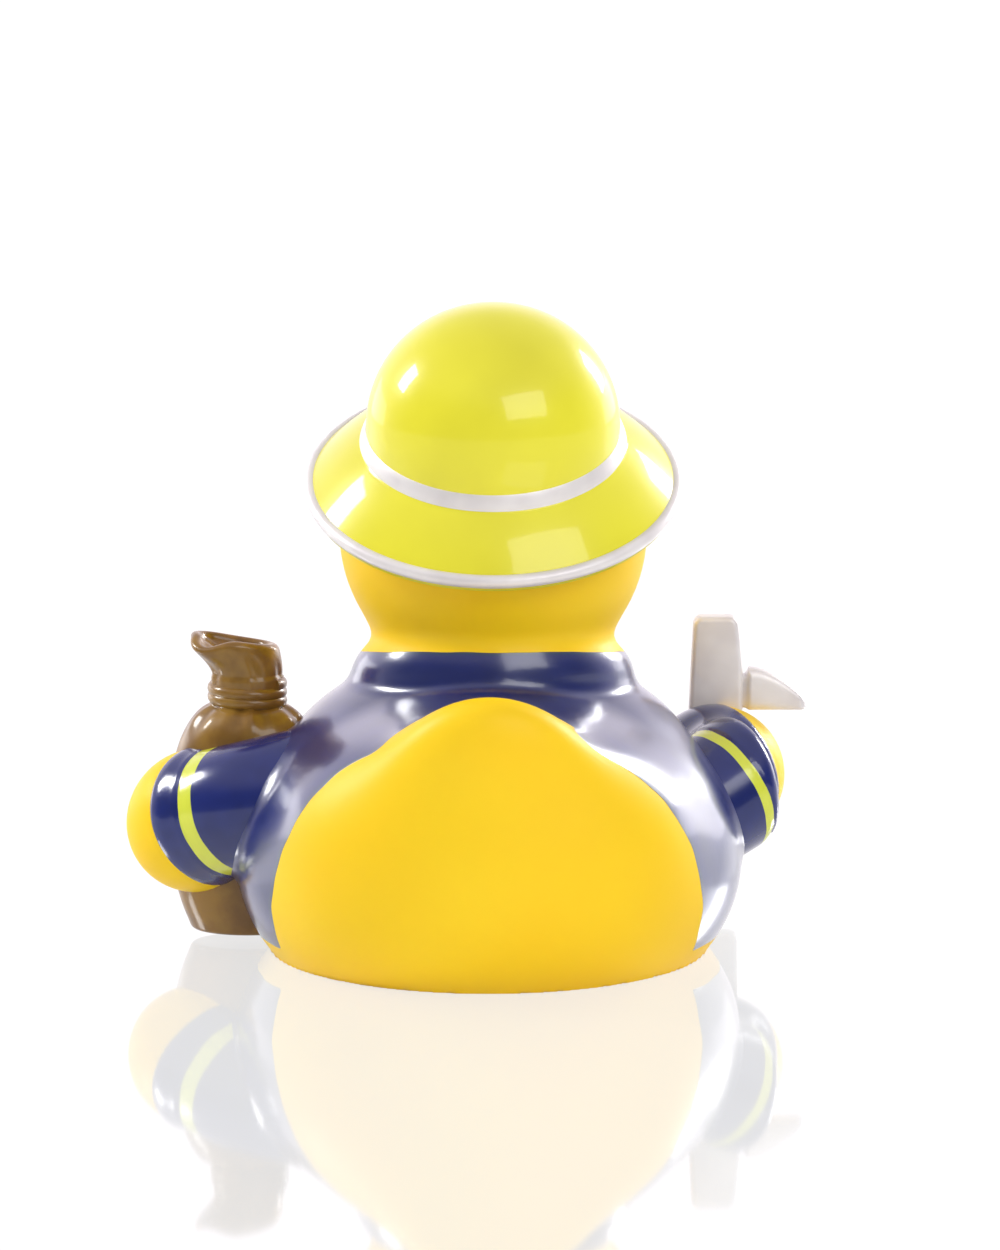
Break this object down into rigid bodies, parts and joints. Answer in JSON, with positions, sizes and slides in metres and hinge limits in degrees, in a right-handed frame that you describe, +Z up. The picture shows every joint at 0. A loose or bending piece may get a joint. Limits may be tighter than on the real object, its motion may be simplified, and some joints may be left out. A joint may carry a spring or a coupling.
{
  "type": "rubber duck",
  "caption": "Squeaky bath duck in rescue gear, with a brimmed helmet, a jacket, a tied sack under one wing and a flat tool in the other.",
  "frame": {"origin": "centre of the flat base, under the middle of the body", "axes": "+Z up out of the base, +Y towards the beak, +X towards the hand that holds the tool"},
  "size_m": [0.0905, 0.071, 0.0858],
  "materials": {
    "painted_pvc": "soft PVC in yellow, satin, with glossy navy, lime, brown and silver paint"
  },
  "bodies": {
    "root": {"duck": "painted_pvc"}
  },
  "joints": []
}
